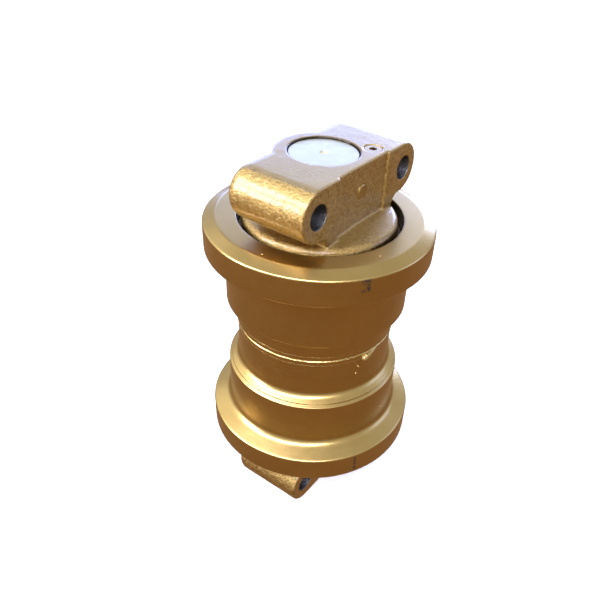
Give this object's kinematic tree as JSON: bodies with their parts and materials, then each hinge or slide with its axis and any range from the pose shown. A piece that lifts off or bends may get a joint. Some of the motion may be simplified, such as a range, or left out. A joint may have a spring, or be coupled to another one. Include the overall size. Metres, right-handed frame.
{
  "type": "track roller",
  "caption": "Double-flanged steel roller turning on a fixed shaft between end collars whose eared flat faces bolt to a track frame.",
  "frame": {"origin": "middle of the roller on its axis of rotation", "axes": "+Z along the axis of rotation towards the collar with the oil plug; +X is the outward normal of the mounting faces that bolt to the track frame"},
  "size_m": [0.19, 0.19, 0.326],
  "materials": {
    "shell_paint": "gold metallic paint over forged and turned steel",
    "collar_paint": "gold metallic paint over rough casting, smooth on the machined faces",
    "shaft_paint": "thin gold paint over a turned end face",
    "plug_paint": "gold metallic paint",
    "pin_paint": "gold metallic paint",
    "seal_steel": "lapped steel",
    "bush_bronze": "turned bronze",
    "rubber": "matt black nitrile rubber"
  },
  "bodies": {
    "mounting": {"shaft": "shaft_paint", "oil_plug": "plug_paint", "oil_plug_seal": "rubber", "upper_end_collar": "collar_paint", "upper_dowel_pin": "pin_paint", "upper_shaft_o_ring": "rubber", "upper_stationary_seal_ring": "seal_steel", "upper_collar_toric_ring": "rubber", "lower_end_collar": "collar_paint", "lower_dowel_pin": "pin_paint", "lower_shaft_o_ring": "rubber", "lower_stationary_seal_ring": "seal_steel", "lower_collar_toric_ring": "rubber"},
    "roller": {"seam_weld": "shell_paint", "upper_shell_half": "shell_paint", "upper_bush": "bush_bronze", "upper_rotating_seal_ring": "seal_steel", "upper_shell_toric_ring": "rubber", "lower_shell_half": "shell_paint", "lower_bush": "bush_bronze", "lower_rotating_seal_ring": "seal_steel", "lower_shell_toric_ring": "rubber"}
  },
  "joints": [
    {"name": "roller_spin", "type": "hinge", "parent": "mounting", "child": "roller", "pos_m": [0, 0, 0], "axis": [0, 0, 1], "continuous": true}
  ]
}
